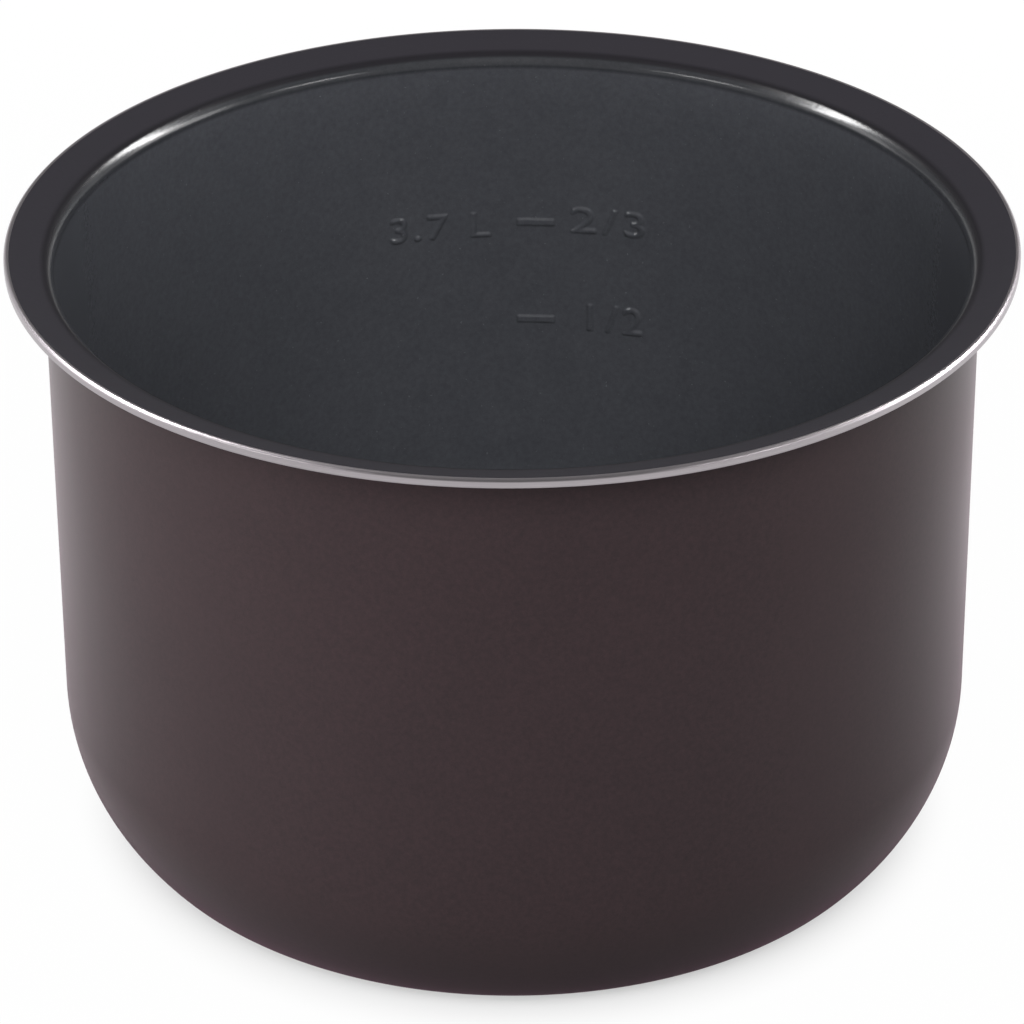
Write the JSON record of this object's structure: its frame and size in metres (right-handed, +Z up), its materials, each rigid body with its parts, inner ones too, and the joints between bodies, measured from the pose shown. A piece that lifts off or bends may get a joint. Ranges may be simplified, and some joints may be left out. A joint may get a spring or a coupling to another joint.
{
  "type": "pressure cooker inner pot",
  "caption": "Round drawn cooking pot with a flared rim, straight wall, rounded heel and stamped level bars inside; drops into a pressure cooker's well to hold food and liquid.",
  "frame": {"origin": "on the pot's axis, in the plane of the foot ring that it stands on", "axes": "+Z up along the axis, out of the mouth; +Y towards the wall with the level bars; -Y is the front in the picture"},
  "size_m": [0.242, 0.242, 0.1555],
  "materials": {
    "bare_aluminium": "satin",
    "grey_ceramic": "satin",
    "brown_coat": "satin"
  },
  "bodies": {
    "root": {"pot_shell": "bare_aluminium", "ceramic_lining": "grey_ceramic", "outer_coat": "brown_coat"}
  },
  "joints": []
}
